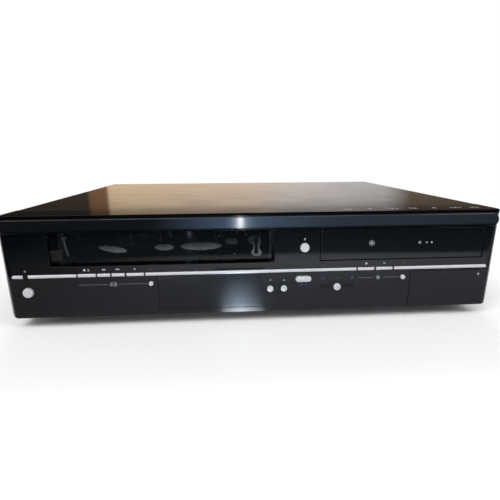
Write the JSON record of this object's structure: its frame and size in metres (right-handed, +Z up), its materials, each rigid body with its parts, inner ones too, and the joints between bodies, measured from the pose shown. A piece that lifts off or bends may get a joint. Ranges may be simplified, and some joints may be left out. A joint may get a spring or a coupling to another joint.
{
  "type": "dvd vcr combo player",
  "caption": "Low black cabinet that holds a tray-loading disc recorder beside a video cassette recorder, with silver trim, buttons, a display window and a flap over front jacks.",
  "frame": {"origin": "on the floor under the middle of the whole machine", "axes": "+X to the right seen from the front, +Y back, +Z up"},
  "size_m": [0.435, 0.341, 0.0995],
  "materials": {
    "black_gloss": "high-gloss black moulding",
    "black_satin": "satin black moulding",
    "smoked_clear": "smoked clear plastic, polished",
    "silver_gloss": "bright silver metallised plastic",
    "black_steel": "black painted steel sheet",
    "plated_steel": "zinc plated steel sheet",
    "machined_aluminium": "machined and cast aluminium",
    "grey_moulding": "dark grey moulding",
    "cream_moulding": "natural cream moulding",
    "rubber": "black rubber",
    "board_green": "green circuit board with parts",
    "board_brown": "brown single-sided circuit board with parts",
    "lamp_window": "dark lamp window, off"
  },
  "bodies": {
    "cabinet": {"chassis_base": "plated_steel", "clamp_bridge": "plated_steel", "deck_chassis": "plated_steel", "display_window": "smoked_clear", "front_board": "board_green", "front_jacks": "black_satin", "front_left_foot": "rubber", "front_panel": "black_gloss", "front_right_foot": "rubber", "left_trim_bar": "silver_gloss", "loader_frame": "black_satin", "loading_motor": "plated_steel", "long_trim_bar": "silver_gloss", "lower_drum": "machined_aluminium", "main_board": "board_green", "mains_inlet": "black_satin", "power_board": "board_brown", "rear_left_foot": "rubber", "rear_panel": "black_steel", "rear_right_foot": "rubber", "rear_sockets": "black_satin", "right_trim_bar": "silver_gloss", "scart_sockets": "black_satin", "status_lamp": "lamp_window", "top_cover": "black_steel", "tray_motor": "plated_steel", "tuner": "plated_steel"},
    "capstan_flywheel": {"capstan_flywheel": "machined_aluminium"},
    "cassette_door": {"cassette_door": "smoked_clear"},
    "cassette_holder": {"cassette_holder": "plated_steel"},
    "channel_down_button": {"channel_down_button": "silver_gloss"},
    "channel_up_button": {"channel_up_button": "silver_gloss"},
    "clamp_puck": {"clamp_puck": "cream_moulding"},
    "disc_play_button": {"disc_play_button": "silver_gloss"},
    "disc_record_button": {"disc_record_button": "silver_gloss"},
    "disc_stop_button": {"disc_stop_button": "silver_gloss"},
    "disc_tray": {"disc_tray": "black_satin", "tray_front": "black_gloss"},
    "dubbing_button": {"dubbing_button": "silver_gloss"},
    "fast_forward_button": {"fast_forward_button": "silver_gloss"},
    "jack_door": {"jack_door": "black_gloss"},
    "lead_screw": {"lead_screw": "plated_steel"},
    "loading_carriage": {"loading_carriage": "plated_steel"},
    "loading_gear": {"loading_gear": "cream_moulding"},
    "open_close_button": {"open_close_button": "silver_gloss"},
    "pickup_sled": {"pickup_sled": "machined_aluminium"},
    "pinch_arm": {"pinch_arm": "plated_steel"},
    "pinch_roller": {"pinch_roller": "rubber"},
    "play_button": {"play_button": "silver_gloss"},
    "power_button": {"power_button": "silver_gloss"},
    "rewind_button": {"rewind_button": "silver_gloss"},
    "select_button": {"select_button": "silver_gloss"},
    "stop_eject_button": {"stop_eject_button": "silver_gloss"},
    "supply_reel": {"supply_reel": "grey_moulding"},
    "takeup_reel": {"takeup_reel": "grey_moulding"},
    "tape_record_button": {"tape_record_button": "silver_gloss"},
    "traverse": {"traverse": "plated_steel"},
    "tray_gear": {"tray_gear": "cream_moulding"},
    "turntable": {"turntable": "black_satin"},
    "upper_drum": {"upper_drum": "machined_aluminium"}
  },
  "joints": [
    {"name": "channel_down_press", "type": "slide", "parent": "cabinet", "child": "channel_down_button", "axis": [0, 1, 0], "range_m": [0, 0.0008], "stiffness_N_per_m": 300, "springref_m": -0.001},
    {"name": "channel_up_press", "type": "slide", "parent": "cabinet", "child": "channel_up_button", "axis": [0, 1, 0], "range_m": [0, 0.0008], "stiffness_N_per_m": 300, "springref_m": -0.001},
    {"name": "disc_play_press", "type": "slide", "parent": "cabinet", "child": "disc_play_button", "axis": [0, 1, 0], "range_m": [0, 0.0008], "stiffness_N_per_m": 300, "springref_m": -0.001},
    {"name": "disc_record_press", "type": "slide", "parent": "cabinet", "child": "disc_record_button", "axis": [0, 1, 0], "range_m": [0, 0.0008], "stiffness_N_per_m": 300, "springref_m": -0.001},
    {"name": "disc_stop_press", "type": "slide", "parent": "cabinet", "child": "disc_stop_button", "axis": [0, 1, 0], "range_m": [0, 0.0008], "stiffness_N_per_m": 300, "springref_m": -0.001},
    {"name": "dubbing_press", "type": "slide", "parent": "cabinet", "child": "dubbing_button", "axis": [0, 1, 0], "range_m": [0, 0.0008], "stiffness_N_per_m": 300, "springref_m": -0.001},
    {"name": "fast_forward_press", "type": "slide", "parent": "cabinet", "child": "fast_forward_button", "axis": [0, 1, 0], "range_m": [0, 0.0008], "stiffness_N_per_m": 300, "springref_m": -0.001},
    {"name": "open_close_press", "type": "slide", "parent": "cabinet", "child": "open_close_button", "axis": [0, 1, 0], "range_m": [0, 0.0008], "stiffness_N_per_m": 300, "springref_m": -0.001},
    {"name": "play_press", "type": "slide", "parent": "cabinet", "child": "play_button", "axis": [0, 1, 0], "range_m": [0, 0.0008], "stiffness_N_per_m": 300, "springref_m": -0.001},
    {"name": "power_press", "type": "slide", "parent": "cabinet", "child": "power_button", "axis": [0, 1, 0], "range_m": [0, 0.0008], "stiffness_N_per_m": 300, "springref_m": -0.001},
    {"name": "rewind_press", "type": "slide", "parent": "cabinet", "child": "rewind_button", "axis": [0, 1, 0], "range_m": [0, 0.0008], "stiffness_N_per_m": 300, "springref_m": -0.001},
    {"name": "select_press", "type": "slide", "parent": "cabinet", "child": "select_button", "axis": [0, 1, 0], "range_m": [0, 0.0008], "stiffness_N_per_m": 300, "springref_m": -0.001},
    {"name": "stop_eject_press", "type": "slide", "parent": "cabinet", "child": "stop_eject_button", "axis": [0, 1, 0], "range_m": [0, 0.0008], "stiffness_N_per_m": 300, "springref_m": -0.001},
    {"name": "tape_record_press", "type": "slide", "parent": "cabinet", "child": "tape_record_button", "axis": [0, 1, 0], "range_m": [0, 0.0008], "stiffness_N_per_m": 300, "springref_m": -0.001},
    {"name": "jack_door_hinge", "type": "hinge", "parent": "cabinet", "child": "jack_door", "pos_m": [0.1765, -0.1605, 0.0121], "axis": [1, 0, 0], "range_deg": [0, 90]},
    {"name": "cassette_door_hinge", "type": "hinge", "parent": "cabinet", "child": "cassette_door", "pos_m": [-0.0812, -0.1652, 0.0826], "axis": [1, 0, 0], "range_deg": [0, 88], "stiffness_Nm_per_rad": 0.02, "springref_deg": -17.19},
    {"name": "disc_tray_slide", "type": "slide", "parent": "cabinet", "child": "disc_tray", "axis": [0, -1, 0], "range_m": [0, 0.14]},
    {"name": "tray_gear_turn", "type": "hinge", "parent": "cabinet", "child": "tray_gear", "pos_m": [0.08046, -0.1475, 0.0636], "axis": [0, 0, 1], "range_deg": [0, 905]},
    {"name": "traverse_lift", "type": "hinge", "parent": "cabinet", "child": "traverse", "pos_m": [0.12915, 0.0155, 0.05585], "axis": [-1, 0, 0], "range_deg": [0, 3]},
    {"name": "turntable_spin", "type": "hinge", "parent": "traverse", "child": "turntable", "pos_m": [0.12915, -0.0992, 0.0642], "axis": [0, 0, 1], "continuous": true},
    {"name": "pickup_slide", "type": "slide", "parent": "traverse", "child": "pickup_sled", "axis": [0, 1, 0], "range_m": [0, 0.034]},
    {"name": "lead_screw_spin", "type": "hinge", "parent": "traverse", "child": "lead_screw", "pos_m": [0.15915, -0.0792, 0.0587], "axis": [0, 1, 0], "continuous": true},
    {"name": "clamp_puck_spin", "type": "hinge", "parent": "cabinet", "child": "clamp_puck", "pos_m": [0.12915, -0.0992, 0.0784], "axis": [0, 0, 1], "continuous": true},
    {"name": "carriage_slide", "type": "slide", "parent": "cabinet", "child": "loading_carriage", "axis": [0, 1, 0], "range_m": [0, 0.045]},
    {"name": "loading_gear_turn", "type": "hinge", "parent": "cabinet", "child": "loading_gear", "pos_m": [-0.19255, -0.0625, 0.0586], "axis": [1, 0, 0], "range_deg": [0, 121]},
    {"name": "holder_drop", "type": "slide", "parent": "loading_carriage", "child": "cassette_holder", "axis": [0, 0, -1], "range_m": [0, 0.024]},
    {"name": "head_drum_spin", "type": "hinge", "parent": "cabinet", "child": "upper_drum", "pos_m": [-0.08328, 0.0505, 0.05039], "axis": [-0.1045, 0, 0.9945], "continuous": true},
    {"name": "capstan_spin", "type": "hinge", "parent": "cabinet", "child": "capstan_flywheel", "pos_m": [-0.0362, 0.0225, 0.0218], "axis": [0, 0, 1], "continuous": true},
    {"name": "supply_reel_spin", "type": "hinge", "parent": "cabinet", "child": "supply_reel", "pos_m": [-0.12755, -0.0375, 0.0309], "axis": [0, 0, 1], "continuous": true},
    {"name": "takeup_reel_spin", "type": "hinge", "parent": "cabinet", "child": "takeup_reel", "pos_m": [-0.03485, -0.0375, 0.0309], "axis": [0, 0, 1], "continuous": true},
    {"name": "pinch_arm_swing", "type": "hinge", "parent": "cabinet", "child": "pinch_arm", "pos_m": [-0.0174, 0.04155, 0.0309], "axis": [0, 0, -1], "range_deg": [0, 20]},
    {"name": "pinch_roller_spin", "type": "hinge", "parent": "pinch_arm", "child": "pinch_roller", "pos_m": [-0.02122, 0.01989, 0.0327], "axis": [0, 0, 1], "continuous": true}
  ],
  "couplings": [
    {"joint": "tray_gear_turn", "follows": "disc_tray_slide", "rad_per_m": 112.2},
    {"joint": "lead_screw_spin", "follows": "pickup_slide", "rad_per_m": 2094.4},
    {"joint": "loading_gear_turn", "follows": "carriage_slide", "rad_per_m": 46.542}
  ]
}
